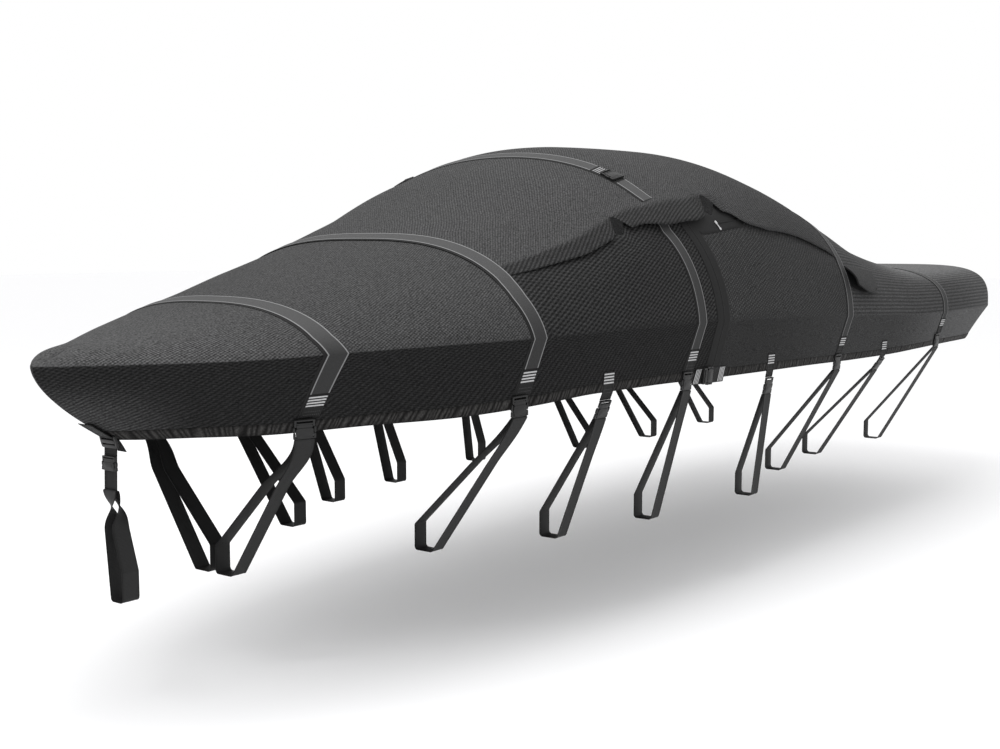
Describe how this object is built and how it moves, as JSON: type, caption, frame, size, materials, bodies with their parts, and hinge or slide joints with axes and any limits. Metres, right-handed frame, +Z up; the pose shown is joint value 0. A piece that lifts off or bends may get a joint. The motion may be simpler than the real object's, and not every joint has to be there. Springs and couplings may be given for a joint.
{
  "type": "fitted boat cover",
  "caption": "Fitted dark grey woven cover for a trailered wake-tower boat, with over-straps, side-release buckles and tie-down webbing loops.",
  "frame": {"origin": "on the centre line under the top of the crown, where the cover is held up", "axes": "+X towards the stern, +Y to starboard, +Z up"},
  "size_m": [7.295, 2.2026, 1.8088],
  "materials": {
    "cover_cloth_top": "matt woven polyester",
    "cover_cloth_side": "matt woven polyester",
    "binding_cloth": "matt binding tape",
    "strap_webbing": "woven webbing with light edge piping",
    "tie_down_webbing": "woven webbing",
    "buckle_plastic": "moulded, satin"
  },
  "bodies": {
    "root": {"aft_panel": "cover_cloth_side", "aft_tab_port": "tie_down_webbing", "aft_tab_starboard": "tie_down_webbing", "buckle_aft_port": "buckle_plastic", "buckle_aft_starboard": "buckle_plastic", "buckle_aft_tab_port": "buckle_plastic", "buckle_aft_tab_starboard": "buckle_plastic", "buckle_bow_port": "buckle_plastic", "buckle_bow_starboard": "buckle_plastic", "buckle_closure_port": "buckle_plastic", "buckle_closure_starboard": "buckle_plastic", "buckle_crown_port": "buckle_plastic", "buckle_crown_starboard": "buckle_plastic", "buckle_fore_port": "buckle_plastic", "buckle_fore_starboard": "buckle_plastic", "buckle_fore_tab_port": "buckle_plastic", "buckle_fore_tab_starboard": "buckle_plastic", "buckle_mid_port": "buckle_plastic", "buckle_mid_starboard": "buckle_plastic", "buckle_mid_tab_port": "buckle_plastic", "buckle_mid_tab_starboard": "buckle_plastic", "buckle_stern_port": "buckle_plastic", "buckle_stern_starboard": "buckle_plastic", "closure_strap_port": "tie_down_webbing", "closure_strap_starboard": "tie_down_webbing", "crown_panel": "cover_cloth_top", "fore_tab_port": "tie_down_webbing", "fore_tab_starboard": "tie_down_webbing", "front_panel": "cover_cloth_side", "loop_aft_port": "tie_down_webbing", "loop_aft_starboard": "tie_down_webbing", "loop_aft_tab_port": "tie_down_webbing", "loop_aft_tab_starboard": "tie_down_webbing", "loop_bow_port": "tie_down_webbing", "loop_bow_starboard": "tie_down_webbing", "loop_fore_port": "tie_down_webbing", "loop_fore_starboard": "tie_down_webbing", "loop_fore_tab_port": "tie_down_webbing", "loop_fore_tab_starboard": "tie_down_webbing", "loop_mid_port": "tie_down_webbing", "loop_mid_starboard": "tie_down_webbing", "loop_mid_tab_port": "tie_down_webbing", "loop_mid_tab_starboard": "tie_down_webbing", "loop_stem": "tie_down_webbing", "loop_stern_port": "tie_down_webbing", "loop_stern_starboard": "tie_down_webbing", "mid_tab_port": "tie_down_webbing", "mid_tab_starboard": "tie_down_webbing", "slit_facing_port": "binding_cloth", "slit_facing_starboard": "binding_cloth", "stem_tab": "tie_down_webbing", "strap_aft": "strap_webbing", "strap_bow": "strap_webbing", "strap_crown": "strap_webbing", "strap_fore": "strap_webbing", "strap_mid_port": "strap_webbing", "strap_mid_starboard": "strap_webbing", "strap_stern": "strap_webbing", "vent_port": "cover_cloth_side", "vent_starboard": "cover_cloth_side"}
  },
  "joints": []
}
